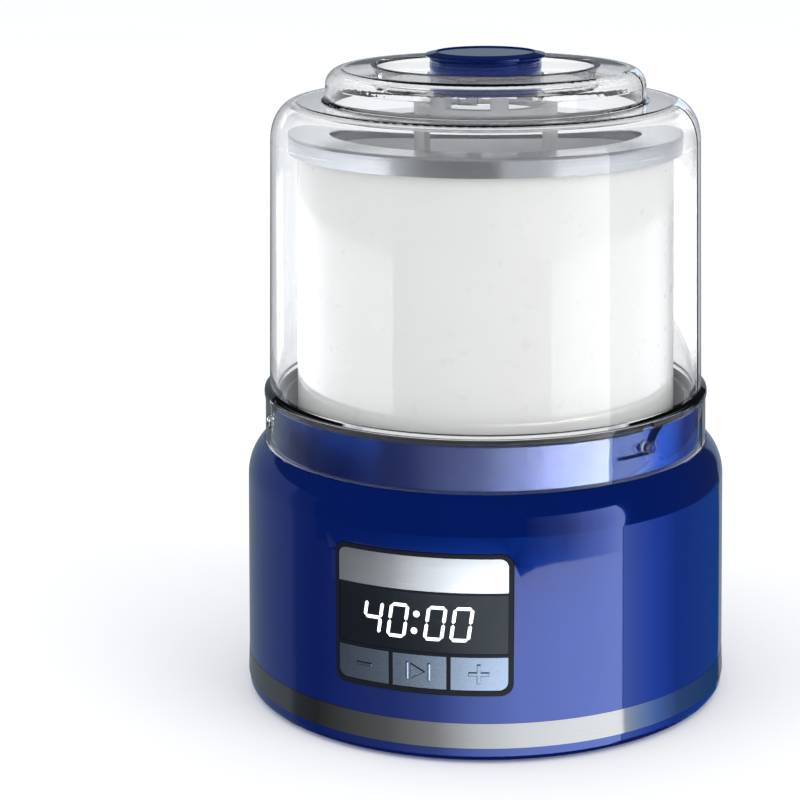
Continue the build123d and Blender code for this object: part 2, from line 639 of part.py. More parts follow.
with BuildPart() as power_transformer:
    with BuildSketch(Plane.XY.offset(board_z + 1.6)):
        with Locations((board_x, -18)):
            Rectangle(28, 24)
    extrude(amount=22)
    chamfer(power_transformer.edges().group_by(Axis.Z)[-1], 1.5)
    with BuildSketch(Plane.XY.offset(board_z + 8)):
        with Locations((board_x, -18)):
            Rectangle(22, 32)
    extrude(amount=11)
save(power_transformer, "power_transformer")

with BuildPart() as filter_capacitors:
    extrude(discs(7.0, board_z + 1.6, (board_x - 8, 18), (board_x + 10, 22)), amount=20)
    fillet(filter_capacitors.edges().group_by(Axis.Z)[-1], 1.0)
save(filter_capacitors, "filter_capacitors")

cord_hole_r = 3.5
gland_inside, gland_lip, gland_lip_t = 5.0, 2.0, 4.0
gland_foot = radial_plane(180, wall_radius(gland_z) - wall_t - gland_inside, gland_z)

with BuildPart() as cord_gland:
    with BuildSketch(gland_foot):
        RectangleRounded(gland_side, gland_side, gland_corner)
    extrude(amount=wall_t + gland_inside)
    with BuildSketch(gland_foot):
        RectangleRounded(gland_side + 2 * gland_lip, gland_side + 2 * gland_lip, gland_corner + gland_lip)
    extrude(amount=gland_lip_t)
    with BuildSketch(gland_foot):
        Circle(cord_hole_r)
    extrude(amount=wall_t + gland_inside, mode=Mode.SUBTRACT)
save(cord_gland, "cord_gland")

# ---------------------------------------------------------------- freezer bowl
shell_t, liner_t = 2.2, 1.6
shell_corner, liner_corner = 7.0, 9.0
liner_top_r = liner_r + 1.5
socket_wall_r = 20.0                          # solid core of the shell round the drive socket
kingpin_r, kingpin_h = 5.0, 4.0               # pin on the liner's floor that the paddle turns on

with BuildPart() as bowl_shell:
    with BuildSketch(Plane.XZ):
        with BuildLine():
            Polyline((0, bowl_z0), (bowl_r0 - shell_corner, bowl_z0))
            RadiusArc((bowl_r0 - shell_corner, bowl_z0), (bowl_r0, bowl_z0 + shell_corner), -shell_corner)
            Polyline((bowl_r0, bowl_z0 + shell_corner), (bowl_r1, bowl_z1), (bowl_r1 - shell_t, bowl_z1),
                     (bowl_r0 - shell_t, bowl_z0 + shell_corner), (bowl_r0 - shell_corner, bowl_z0 + shell_t),
                     (socket_wall_r, bowl_z0 + shell_t), (socket_wall_r, liner_floor - liner_t - 1),
                     (0, liner_floor - liner_t - 1), (0, bowl_z0))
        make_face()
    revolve(axis=Axis.Z)
    with BuildSketch(Plane.XY.offset(bowl_z0)):
        RegularPolygon(socket_flats / 2, 6, major_radius=False)
    extrude(amount=dog_z1 + 0.5 - bowl_z0, mode=Mode.SUBTRACT)
save(bowl_shell, "bowl_shell")

with BuildPart() as bowl_liner:
    with BuildSketch(Plane.XZ):
        with BuildLine():
            Polyline((0, liner_floor), (liner_r - liner_corner, liner_floor))
            RadiusArc((liner_r - liner_corner, liner_floor), (liner_r, liner_floor + liner_corner),
                      -liner_corner)
            Polyline((liner_r, liner_floor + liner_corner), (liner_top_r, bowl_z1),
                     (liner_top_r + liner_t, bowl_z1), (liner_r + liner_t, liner_floor + liner_corner))
            RadiusArc((liner_r + liner_t, liner_floor + liner_corner),
                      (liner_r - liner_corner, liner_floor - liner_t), liner_corner + liner_t)
            Polyline((liner_r - liner_corner, liner_floor - liner_t), (0, liner_floor - liner_t),
                     (0, liner_floor))
        make_face()
    revolve(axis=Axis.Z)
    extrude(ring(0, kingpin_r, liner_floor - 0.5), amount=kingpin_h + 0.5)
    fillet(bowl_liner.edges().filter_by(GeomType.CIRCLE).filter_by(lambda e: abs(e.radius - kingpin_r) < 0.01)
           .sort_by(Axis.Z)[-1], 1.5)
save(bowl_liner, "bowl_liner")

# Sealed coolant that fills the space between the shell and the liner.
with BuildPart() as coolant:
    revolve(outline((socket_wall_r + 1, bowl_z0 + shell_t + 0.2), (bowl_r0 - 8, bowl_z0 + shell_t + 0.2),
                    (bowl_r0 - shell_t - 0.2, bowl_z0 + 9), (bowl_r1 - shell_t - 0.15, bowl_z1 - 6),
                    (liner_top_r + liner_t + 0.1, bowl_z1 - 6),
                    (liner_r + liner_t + 0.2, liner_floor + liner_corner),
                    (liner_r + liner_t + 0.2, liner_floor - liner_t - 0.5),
                    (socket_wall_r + 1, liner_floor - liner_t - 0.5)), axis=Axis.Z)
save(coolant, "coolant")

with BuildPart() as bowl_rim:
    revolve(outline((liner_top_r, bowl_z1), (rim_r, bowl_z1), (rim_r, rim_top), (liner_top_r, rim_top)),
            axis=Axis.Z)
    fillet(bowl_rim.edges().group_by(Axis.Z)[-1], 1.0)
save(bowl_rim, "bowl_rim")

# ---------------------------------------------------------------- paddle
blade_x, blade_t, blade_w = 56.0, 5.0, 8.0
blade_z0, blade_z1 = 98.5, 221.0
post_x, key_r0, key_r1, key_z = 26.5, 24.6, 29.4, 243.7
tab_h, tab_inner, tab_outer = 5.5, 19.0, 33.0  # height of a tab, and its ends in degrees from the lug


def sector(r_in, r_out, z, start, end):
    """Flat ring sector at height z, between two directions counted from +X."""
    with BuildSketch(Plane.XY.offset(z)) as s:
        with BuildLine():
            CenterArc((0, 0), r_out, start, end - start)
            CenterArc((0, 0), r_in, start, end - start)
            for a in (start, end):
                c, d = math.cos(math.radians(a)), math.sin(math.radians(a))
                Line((r_in * c, r_in * d), (r_out * c, r_out * d))
        make_face()
    return s.sketch


with BuildPart() as paddle:
    with BuildSketch(Plane.XY.offset(blade_z0 + 8)):
        with Locations((blade_x, 0), (-blade_x, 0)):
            Rectangle(blade_t, blade_w)
    extrude(amount=blade_z1 - blade_z0 - 8)
    with BuildSketch(Plane.XY.offset(blade_z0 + 2.5)):
        Rectangle(2 * blade_x - 4, blade_w)
    extrude(amount=7.5)
    with BuildSketch(Plane.XY.offset(blade_z1 - 8)):
        Rectangle(2 * blade_x + blade_t, blade_w)
    extrude(amount=8)
    with BuildSketch(Plane.XY.offset(blade_z1 - 4)):
        with Locations((post_x + 0.5, 0), (-post_x - 0.5, 0)):
            Rectangle(4.5, blade_w)
    extrude(amount=key_z - blade_z1 + 5)
    fillet(paddle.edges().filter_by(Axis.Y), 0.8)
    extrude(ring(0, 9, blade_z0 + 0.5), amount=9.5)
    extrude(ring(0, 5.3, blade_z0), amount=2.1, mode=Mode.SUBTRACT)
    extrude(ring(key_r0, key_r1, key_z), amount=4)
    for side in (90, 270):
        extrude(sector(key_r0, key_r1, key_z + 4, side + tab_inner, side + tab_outer), amount=tab_h)
        extrude(sector(key_r0, key_r1, key_z + 4, side - tab_outer, side - tab_inner), amount=tab_h)
save(paddle, "paddle")

# ---------------------------------------------------------------- lid, seal and cap
key_lug_depth, key_lug_half_angle = 5.5, 8.0  # lugs under the lid that hold the paddle's ring
peak_r, peak_rise = 45.0, 1.3                 # inner edge of the raised ring's top, and how much it rises
boss_ring_r0, boss_ring_r1 = 1.9, 3.2         # small ring on the skirt round each lug


def lid_outline(t):
    """Upper outline of the lid, set inward by t, filled down to the lip and in to the axis."""
    base = lip_z if t == 0 else 100.0
    r_low = dome_r0 - t
    corner_x = dome_r1 - corner_a
    corner_y = deck_z - corner_b
    ring_cx, ring_cy = ring_r - ring_a, ring_top - ring_b
    tilt = math.atan2(peak_r - recess_r, ring_top + peak_rise - recess_z)
    lean = (1 - math.sin(tilt)) / math.cos(tilt)  # shift that keeps the recess's wall t thick
    with BuildSketch(Plane.XZ) as s:
        with BuildLine():
            Polyline((0, base), (r_low, base), (dome_r1 - t, corner_y))
            EllipticalCenterArc((corner_x, corner_y), corner_a - t, corner_b - t, 0, arc_size=90)
            Line((corner_x, deck_z - t), (ring_r - t, deck_z - t))
            Line((ring_r - t, deck_z - t), (ring_r - t, ring_cy))
            EllipticalCenterArc((ring_cx, ring_cy), ring_a - t, ring_b - t, 0, arc_size=90)
            Polyline((ring_cx, ring_top - t), (peak_r + lean * t, ring_top + peak_rise - t),
                     (recess_r + lean * t, recess_z - t), (0, recess_z - t), (0, base))
        make_face()
    return s.sketch


with BuildPart() as lid:
    revolve(lid_outline(0), axis=Axis.Z)
    with BuildSketch(Plane.XZ):
        with BuildLine():
            Polyline((0, lip_z), (dome_r0, lip_z), (skirt_r - 0.2, bead_z1 + 1), (skirt_r, bead_z1),
                     (skirt_r, bead_z0), (skirt_r - 0.45, bead_z0 - 0.4), (skirt_r - 0.1, ledge_z + 0.4),
                     (0, ledge_z + 0.4), (0, lip_z))
        make_face()
    revolve(axis=Axis.Z)
    fillet(lid.edges().filter_by(lambda e: e.geom_type == GeomType.CIRCLE and abs(e.radius - ring_r) < 0.05
                                 and abs(e.center().Z - deck_z) < 0.05), 1.6)
    extrude(ring(0, neck_r, recess_z - 8), amount=neck_top - recess_z + 8)
    revolve(lid_outline(lid_wall), axis=Axis.Z, mode=Mode.SUBTRACT)
    extrude(ring(0, collar_r + 0.5, ledge_z), amount=bead_z1 + 0.2 - ledge_z, mode=Mode.SUBTRACT)
    extrude(ring(neck_bore_r, neck_r, recess_z - 7), amount=7)
    extrude(ring(0, neck_bore_r, recess_z - 9), amount=30, mode=Mode.SUBTRACT)
    for side in (90, 270):
        extrude(sector(key_r0 + gap, key_r1 - gap, recess_z - lid_wall - key_lug_depth,
                       side - key_lug_half_angle, side + key_lug_half_angle), amount=key_lug_depth + 0.5)
    for azimuth in lug_azimuths:
        with BuildSketch(radial_plane(azimuth, lug_reach, lug_z)):
            Circle(lug_r)
        extrude(amount=skirt_r - lug_reach - 0.3)
        with BuildSketch(radial_plane(azimuth, skirt_r - 0.8, lug_z)):
            Circle(boss_ring_r1)
            Circle(boss_ring_r0, mode=Mode.SUBTRACT)
        extrude(amount=1.1)
save(lid, "lid")

seal_r0, seal_r1, seal_t = 86.7, 89.6, 1.8

with BuildPart() as lid_seal:
    extrude(ring(seal_r0, seal_r1, collar_top + gap), amount=seal_t)
    for azimuth in lug_azimuths:
        with BuildSketch(radial_plane(azimuth, slot_floor, collar_top + gap + seal_t / 2)):
            Rectangle(2 * slot_half + 0.8, 4)
        extrude(amount=5, mode=Mode.SUBTRACT)
save(lid_seal, "lid_seal")

cap_r, cap_body_r, cap_flange_r = neck_bore_r - gap, 22.8, 24.6
cap_top, cap_foot, cap_wall = 268.3, 254.0, 2.0
dish_r, dish_depth = 20.0, 0.5
flange_z, flange_edge, groove_pitch = 266.2, 1.1, 1.3

with BuildPart() as fill_cap:
    revolve(outline((0, cap_foot), (cap_r, cap_foot), (cap_r, neck_top + gap), (cap_body_r, neck_top + gap),
                    (cap_body_r, flange_z), (cap_flange_r, flange_z), (cap_flange_r, flange_z + flange_edge),
                    (dish_r + 0.2, cap_top), (dish_r, cap_top - dish_depth), (0, cap_top - dish_depth)),
            axis=Axis.Z)
    fillet(fill_cap.edges().filter_by(lambda e: e.geom_type == GeomType.CIRCLE
                                      and abs(e.radius - cap_flange_r) < 0.01), 0.4)
    for groove in range(3):
        extrude(ring(cap_body_r - 0.6, cap_body_r + 1, flange_z - 1 - groove_pitch * groove), amount=0.6,
                mode=Mode.SUBTRACT)
    extrude(ring(0, cap_r - cap_wall, cap_foot), amount=cap_top - dish_depth - cap_wall - cap_foot,
            mode=Mode.SUBTRACT)
save(fill_cap, "fill_cap")
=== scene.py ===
import json
import math

import bmesh
import bpy
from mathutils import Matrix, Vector


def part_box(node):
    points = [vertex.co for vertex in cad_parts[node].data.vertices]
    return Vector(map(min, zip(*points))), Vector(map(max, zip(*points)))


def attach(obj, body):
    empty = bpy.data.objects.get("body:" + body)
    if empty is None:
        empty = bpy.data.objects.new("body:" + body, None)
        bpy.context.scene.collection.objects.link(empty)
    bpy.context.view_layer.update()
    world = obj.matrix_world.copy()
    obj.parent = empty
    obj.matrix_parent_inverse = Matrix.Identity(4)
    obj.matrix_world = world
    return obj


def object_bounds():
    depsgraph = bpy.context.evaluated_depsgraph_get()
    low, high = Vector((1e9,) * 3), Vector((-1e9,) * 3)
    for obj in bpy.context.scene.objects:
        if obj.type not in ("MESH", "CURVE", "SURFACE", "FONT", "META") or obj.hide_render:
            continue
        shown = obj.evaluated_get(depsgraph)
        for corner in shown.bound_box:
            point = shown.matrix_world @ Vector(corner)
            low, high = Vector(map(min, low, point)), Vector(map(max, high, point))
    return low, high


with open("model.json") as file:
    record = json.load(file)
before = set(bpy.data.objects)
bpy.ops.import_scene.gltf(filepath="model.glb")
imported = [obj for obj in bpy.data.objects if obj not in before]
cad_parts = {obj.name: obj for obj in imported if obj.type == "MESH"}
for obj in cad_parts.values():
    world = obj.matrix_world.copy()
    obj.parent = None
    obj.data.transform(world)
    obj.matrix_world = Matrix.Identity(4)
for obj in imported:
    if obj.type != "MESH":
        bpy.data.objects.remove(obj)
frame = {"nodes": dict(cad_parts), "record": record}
cad_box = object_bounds()
MM = 0.001

# ---------------------------------------------------------------- the view
CAMERA_AZIMUTH = 14.8        # degrees from the panel's centre line, towards +X
CAMERA_PITCH = 14.33         # degrees down
CAMERA_DISTANCE = 1.0
CAMERA_SENSOR = 36.0         # mm
CAMERA_LENS = 106.77         # mm
CAMERA_SHIFT = -0.107        # the object stands right of the middle of the frame
AIM_SHARE = 0.4544           # height of the aim point, as a share of the object's height


def direction(azimuth, elevation=0.0):
    """Unit vector towards an azimuth counted from -Y towards +X, and an elevation, in degrees."""
    a, e = math.radians(azimuth), math.radians(elevation)
    return Vector((math.sin(a) * math.cos(e), -math.cos(a) * math.cos(e), math.sin(e)))


def make_camera():
    """The camera, which looks at a point on the object's axis."""
    data = bpy.data.cameras.new("camera")
    data.sensor_width = CAMERA_SENSOR
    data.lens = CAMERA_LENS
    data.shift_x = CAMERA_SHIFT
    data.clip_start, data.clip_end = 0.05, 60.0
    camera = bpy.data.objects.new("camera", data)
    bpy.context.scene.collection.objects.link(camera)
    aim = Vector((0, 0, cad_box[1][2] * AIM_SHARE))
    camera.location = aim + CAMERA_DISTANCE * direction(CAMERA_AZIMUTH, CAMERA_PITCH)
    camera.rotation_euler = (aim - camera.location).to_track_quat("-Z", "Y").to_euler()
    bpy.context.scene.camera = camera


# ---------------------------------------------------------------- node helpers
def new_material(name):
    """An empty node material with its output, as (material, tree, output node)."""
    mat = bpy.data.materials.new(name)
    mat.use_nodes = True
    tree = mat.node_tree
    tree.nodes.clear()
    return mat, tree, tree.nodes.new("ShaderNodeOutputMaterial")


def add_node(tree, kind, inputs=None, **settings):
    """A shader node with its settings and its plain input values."""
    node = tree.nodes.new(kind)
    for key, value in settings.items():
        setattr(node, key, value)
    for key, value in (inputs or {}).items():
        node.inputs[key].default_value = value
    return node


def ramp(tree, factor, stops):
    """A colour ramp from (position, colour) stops; a colour may be one grey value."""
    node = tree.nodes.new("ShaderNodeValToRGB")
    tree.links.new(factor, node.inputs["Fac"])
    elements = node.color_ramp.elements
    for i, (position, colour) in enumerate(stops):
        element = elements[i] if i < 2 else elements.new(position)
        element.position = position
        rgb = (colour,) * 3 if isinstance(colour, (int, float)) else tuple(colour)
        element.color = rgb + (1.0,)
    return node.outputs["Color"]


def object_noise(tree, scale, detail=2.0, stretch=(1, 1, 1)):
    """Noise in object space; scale is in features per metre."""
    coords = add_node(tree, "ShaderNodeTexCoord")
    mapping = add_node(tree, "ShaderNodeMapping")
    mapping.inputs["Scale"].default_value = stretch
    tree.links.new(coords.outputs["Object"], mapping.inputs["Vector"])
    noise = add_node(tree, "ShaderNodeTexNoise", {"Scale": scale, "Detail": detail})
    tree.links.new(mapping.outputs["Vector"], noise.inputs["Vector"])
    return noise.outputs["Fac"]


def bump(tree, height, strength, distance):
    """A bump normal from a height."""
    node = add_node(tree, "ShaderNodeBump", {"Strength": strength, "Distance": distance})
    tree.links.new(height, node.inputs["Height"])
    return node.outputs["Normal"]


GRAIN_DEPTH = 0.01 * MM      # of a moulded skin or a drawn metal surface
SCATTER_DEPTH = 2 * MM       # how far light spreads in milky plastic


def moulded(name, colour, rough=(0.3, 0.36), coat=0.0, coat_rough=0.02, metallic=0.0, spread=0.06,
            grain=2500.0, grain_strength=0.15, subsurface=0.0, specular=0.5, specular_tint=(1.0, 1.0, 1.0),
            transmission=0.0):
    """Moulded plastic, rubber or paint: slight colour drift, uneven gloss and a fine surface grain.

    The spread is the share by which the colour drifts, and rough is the lowest and highest roughness.
    """
    mat, tree, output = new_material(name)
    shader = add_node(tree, "ShaderNodeBsdfPrincipled",
                      {"Metallic": metallic, "Coat Weight": coat, "Coat Roughness": coat_rough,
                       "Subsurface Weight": subsurface, "Subsurface Scale": SCATTER_DEPTH,
                       "Transmission Weight": transmission,
                       "Specular IOR Level": specular, "Specular Tint": specular_tint + (1.0,)})
    dark = [c * (1 - spread) for c in colour]
    light = [min(1.0, c * (1 + spread)) for c in colour]
    drift = object_noise(tree, 45.0, 3.0)
    tree.links.new(ramp(tree, drift, [(0.3, dark), (0.7, light)]), shader.inputs["Base Color"])
    gloss = object_noise(tree, 160.0, 4.0)
    tree.links.new(ramp(tree, gloss, [(0.3, rough[0]), (0.7, rough[1])]), shader.inputs["Roughness"])
    skin = object_noise(tree, grain, 2.0)
    tree.links.new(bump(tree, skin, grain_strength, GRAIN_DEPTH), shader.inputs["Normal"])
    tree.links.new(shader.outputs["BSDF"], output.inputs["Surface"])
    return mat


def metal(name, colour, rough=(0.2, 0.3), stretch=(1, 1, 1), grain=900.0, grain_strength=0.2):
    """Bare metal with a drawn grain: stretch squeezes the grain along an axis into lines."""
    mat, tree, output = new_material(name)
    shader = add_node(tree, "ShaderNodeBsdfPrincipled", {"Metallic": 1.0})
    lines = object_noise(tree, grain, 3.0, stretch)
    dark = [c * 0.93 for c in colour]
    tree.links.new(ramp(tree, lines, [(0.3, dark), (0.7, colour)]), shader.inputs["Base Color"])
    tree.links.new(ramp(tree, lines, [(0.3, rough[0]), (0.7, rough[1])]), shader.inputs["Roughness"])
    tree.links.new(bump(tree, lines, grain_strength, GRAIN_DEPTH), shader.inputs["Normal"])
    tree.links.new(shader.outputs["BSDF"], output.inputs["Surface"])
    return mat


def clear(name, tint, ior):
    """Clear moulded plastic with faint waves. Shadow rays pass, so what stands inside is lit."""
    mat, tree, output = new_material(name)
    shader = add_node(tree, "ShaderNodeBsdfPrincipled",
                      {"Base Color": tint + (1.0,), "Transmission Weight": 1.0, "IOR": ior, "Roughness": 0.0})
    waves = object_noise(tree, 60.0, 1.0)
    tree.links.new(bump(tree, waves, 0.02, 0.0002), shader.inputs["Normal"])
    open_shader = add_node(tree, "ShaderNodeBsdfTransparent", {"Color": (0.99, 0.99, 0.992, 1.0)})
    path = add_node(tree, "ShaderNodeLightPath")
    mix = add_node(tree, "ShaderNodeMixShader")
    tree.links.new(path.outputs["Is Shadow Ray"], mix.inputs[0])
    tree.links.new(shader.outputs["BSDF"], mix.inputs[1])
    tree.links.new(open_shader.outputs["BSDF"], mix.inputs[2])
    tree.links.new(mix.outputs["Shader"], output.inputs["Surface"])
    return mat


def glowing(name, colour, strength):
    """A lit surface whose glow is slightly uneven."""
    mat, tree, output = new_material(name)
    shader = add_node(tree, "ShaderNodeBsdfPrincipled",
                      {"Base Color": (0.9, 0.9, 0.9, 1.0), "Roughness": 0.25, "Emission Strength": strength})
    haze = object_noise(tree, 700.0, 1.0)
    duller = [c * 0.97 for c in colour]
    tree.links.new(ramp(tree, haze, [(0.3, duller), (0.7, colour)]), shader.inputs["Emission Color"])
    tree.links.new(shader.outputs["BSDF"], output.inputs["Surface"])
    return mat


# ---------------------------------------------------------------- materials, one for each slot
def base_materials():
    """The outside of the base and its panel."""
    return [
        moulded("blue_plastic", (0.0003, 0.014, 0.17), rough=(0.1, 0.14), coat=1.0, metallic=0.55,
                spread=0.04, specular_tint=(0.15, 0.6, 1.0)),
        metal("trim_steel", (0.255, 0.258, 0.265), rough=(0.09, 0.12), stretch=(0.1, 0.1, 14), grain=300,
              grain_strength=0.04),
        moulded("black_plastic", (0.006, 0.008, 0.014), rough=(0.28, 0.36), specular=0.2),
        metal("silver_strip", (0.82, 0.85, 0.9), rough=(0.12, 0.16), stretch=(0.2, 0.2, 8), grain=300,
              grain_strength=0.02),
        metal("button_silver", (0.3, 0.38, 0.5), rough=(0.2, 0.28), grain=1500, grain_strength=0.08),
        moulded("smoked_window", (0.003, 0.005, 0.008), rough=(0.08, 0.11), spread=0.1, grain_strength=0.02,
                specular=0.42, specular_tint=(0.8, 0.9, 1.0)),
        glowing("lit_digits", (1.0, 1.0, 1.0), 1.0),
        moulded("rubber", (0.02, 0.02, 0.021), rough=(0.7, 0.8), grain=1800, grain_strength=0.5),
    ]


def inner_materials():
    """The bowl well and the machinery inside the base."""
    return [
        moulded("charcoal_plastic", (0.05, 0.055, 0.068), rough=(0.32, 0.42), spread=0.12),
        moulded("circuit_board", (0.01, 0.09, 0.035), rough=(0.3, 0.45), spread=0.25, grain=500),
        moulded("component_black", (0.02, 0.02, 0.024), rough=(0.45, 0.6), spread=0.2),
        metal("screw_steel", (0.6, 0.6, 0.62), rough=(0.25, 0.4), grain=1500),
        metal("bearing_bronze", (0.62, 0.4, 0.18), rough=(0.35, 0.5), grain=2500),
        moulded("gear_nylon", (0.72, 0.7, 0.63), rough=(0.35, 0.5), spread=0.05),
        metal("motor_steel", (0.55, 0.56, 0.58), rough=(0.3, 0.45), grain=700),
        moulded("magnet", (0.06, 0.06, 0.065), rough=(0.5, 0.7), spread=0.2, grain=900),
        metal("copper_winding", (0.65, 0.27, 0.12), rough=(0.3, 0.5), stretch=(1, 1, 10)),
    ]


def bowl_materials():
    """The bowl, the paddle and the lid."""
    return [
        clear("clear_plastic", (0.995, 0.998, 1.0), 1.49),
        moulded("white_plastic", (0.9, 0.9, 0.88), rough=(0.27, 0.3), spread=0.01, coat=0.6, coat_rough=0.05,
                grain_strength=0.06),
        metal("silver_rim", (0.5, 0.51, 0.54), rough=(0.16, 0.2), stretch=(0.1, 0.1, 14), grain=300,
              grain_strength=0.04),
        moulded("liner_aluminium", (0.84, 0.85, 0.86), rough=(0.35, 0.45), spread=0.03, metallic=0.15),
        moulded("coolant_gel", (0.3, 0.5, 0.7), rough=(0.2, 0.3), spread=0.1),
        moulded("paddle_plastic", (0.9, 0.91, 0.92), rough=(0.3, 0.4), spread=0.03, subsurface=0.2,
                transmission=0.6),
        moulded("silicone", (0.02, 0.022, 0.027), rough=(0.4, 0.5), grain=1500),
    ]


def make_materials():
    """The look of each material slot of the record, by the slot's name.

    The imported nodes' own materials hold these names already, so Blender ends the new names in .001.
    """
    made = base_materials() + inner_materials() + bowl_materials()
    return {mat.name.split(".")[0]: mat for mat in made}


def paint_nodes(materials):
    """Give every carried-over CAD node the material of its slot."""
    slots = {s["node"]: s["material_slot"] for s in frame["record"]["subparts"]}
    for name, node in frame["nodes"].items():
        node.data.materials.clear()
        node.data.materials.append(materials[slots[name]])


# ---------------------------------------------------------------- stage and light
# How many clear faces mirrored light has passed: none, in and out of one clear wall, or in and out behind it.
BARE, INSIDE, COVERED = 0, 2, 4


def compare(tree, socket, operation, threshold):
    """1 where a number is above the threshold, or with LESS_THAN below it, else 0."""
    node = add_node(tree, "ShaderNodeMath", {1: threshold}, operation=operation)
    tree.links.new(socket, node.inputs[0])
    return node.outputs[0]


def both(tree, first, second):
    """1 where two values that are 0 or 1 are both 1, else 0."""
    node = add_node(tree, "ShaderNodeMath", operation="MULTIPLY")
    tree.links.new(first, node.inputs[0])
    tree.links.new(second, node.inputs[1])
    return node.outputs[0]


def mirrored(tree, faces=None):
    """1 for light seen in a glossy surface, else 0.

    With faces it must also have passed that number of clear faces: BARE, INSIDE or COVERED.
    """
    path = add_node(tree, "ShaderNodeLightPath")
    glossy = compare(tree, path.outputs["Glossy Depth"], "GREATER_THAN", 0.5)
    direct = compare(tree, path.outputs["Diffuse Depth"], "LESS_THAN", 0.5)
    answer = both(tree, glossy, direct)
    if faces is not None:
        passed = add_node(tree, "ShaderNodeMath", {1: faces, 2: 0.5}, operation="COMPARE")
        tree.links.new(path.outputs["Transmission Depth"], passed.inputs[0])
        answer = both(tree, answer, passed.outputs[0])
    return answer


def mix_shaders(tree, factor, first, second):
    """The first shader where the factor is 0, and the second where it is 1."""
    node = add_node(tree, "ShaderNodeMixShader")
    tree.links.new(factor, node.inputs[0])
    tree.links.new(first.outputs[0], node.inputs[1])
    tree.links.new(second.outputs[0], node.inputs[2])
    return node


def card_material(name, strength, stops, seen_by):
    """A soft box's glow: stops are (share of the way along it, colour), and only glossy surfaces show it."""
    mat, tree, output = new_material(name)
    coords = add_node(tree, "ShaderNodeUVMap")
    split = add_node(tree, "ShaderNodeSeparateXYZ")
    tree.links.new(coords.outputs["UV"], split.inputs["Vector"])
    glow = add_node(tree, "ShaderNodeEmission", {"Strength": strength})
    tree.links.new(ramp(tree, split.outputs["X"], stops), glow.inputs["Color"])
    unseen = add_node(tree, "ShaderNodeBsdfTransparent")
    shown = mix_shaders(tree, mirrored(tree, seen_by), unseen, glow)
    tree.links.new(shown.outputs[0], output.inputs["Surface"])
    mat.cycles.emission_sampling = "NONE"
    return mat


def dim(colour, level):
    """A colour at a level; the level may be one number or a colour itself."""
    levels = (level,) * 3 if isinstance(level, (int, float)) else level
    return tuple(c * share for c, share in zip(colour, levels))


def light_wall(name, levels, z0, z1, radius, colour, strength, seen_by=BARE):
    """A curved, upright soft box round the object: levels are (azimuth, level) from one end to the other."""
    az0, az1 = levels[0][0], levels[-1][0]
    steps = 32    # flat facets along the wall
    verts, faces = [], []
    for i in range(steps + 1):
        d = direction(az0 + (az1 - az0) * i / steps) * radius
        verts += [(d.x, d.y, z0), (d.x, d.y, z1)]
    for i in range(steps):
        faces.append((2 * i, 2 * i + 1, 2 * i + 3, 2 * i + 2))
    mesh = bpy.data.meshes.new(name)
    mesh.from_pydata(verts, [], faces)
    layer = mesh.uv_layers.new(name="along")
    for loop in mesh.loops:
        layer.data[loop.index].uv = ((loop.vertex_index // 2) / steps, loop.vertex_index % 2)
    stops = [((az - az0) / (az1 - az0), dim(colour, level)) for az, level in levels]
    mesh.materials.append(card_material(name, strength, stops, seen_by))
    wall = bpy.data.objects.new(name, mesh)
    bpy.context.scene.collection.objects.link(wall)
    wall.visible_camera = False
    wall.visible_diffuse = False
    wall.visible_shadow = False


FLOOR_RADIUS = 25.0


def make_floor():
    """A wide pale floor, which the soft light keeps white and which glossy surfaces don't show."""
    mat, tree, output = new_material("floor")
    shader = add_node(tree, "ShaderNodeBsdfPrincipled", {"Roughness": 0.9, "Specular IOR Level": 0.0})
    drift = object_noise(tree, 3.0, 2.0)
    tree.links.new(ramp(tree, drift, [(0.3, 0.86), (0.7, 0.87)]), shader.inputs["Base Color"])
    unseen = add_node(tree, "ShaderNodeBsdfTransparent")
    shown = mix_shaders(tree, mirrored(tree), shader, unseen)
    tree.links.new(shown.outputs[0], output.inputs["Surface"])
    bm = bmesh.new()
    bmesh.ops.create_circle(bm, cap_ends=True, radius=FLOOR_RADIUS, segments=96)
    mesh = bpy.data.meshes.new("floor")
    bm.to_mesh(mesh)
    bm.free()
    mesh.materials.append(mat)
    floor = bpy.data.objects.new("floor", mesh)
    bpy.context.scene.collection.objects.link(floor)
    floor.visible_glossy = False


def make_world():
    """White to the eye and through clear plastic, a soft even fill for lighting, dark in reflections.

    Light that is mirrored inside the clear lid sees a mid grey, so that its thick edges don't go black.
    """
    world = bpy.data.worlds.new("studio")
    world.use_nodes = True
    world.cycles.sampling_method = "NONE"
    tree = world.node_tree
    tree.nodes.clear()
    output = tree.nodes.new("ShaderNodeOutputWorld")
    seen = add_node(tree, "ShaderNodeBackground", {"Color": (1, 1, 1, 1), "Strength": 1.1})
    fill = add_node(tree, "ShaderNodeBackground", {"Color": (0.97, 0.98, 1.0, 1), "Strength": 1.15})
    dark = add_node(tree, "ShaderNodeBackground", {"Color": (0.85, 0.92, 1.0, 1), "Strength": 0.035})
    edge = add_node(tree, "ShaderNodeBackground", {"Color": (0.93, 0.96, 1.0, 1), "Strength": 0.6})
    path = add_node(tree, "ShaderNodeLightPath")
    scattered = compare(tree, path.outputs["Diffuse Depth"], "GREATER_THAN", 0.5)
    lit = mix_shaders(tree, scattered, seen, fill)
    glossy = mix_shaders(tree, mirrored(tree, BARE), edge, dark)
    final = mix_shaders(tree, mirrored(tree), lit, glossy)
    tree.links.new(final.outputs[0], output.inputs["Surface"])
    bpy.context.scene.world = world


LAMP_DISTANCE, LAMP_SIZE = 2.4, 1.6


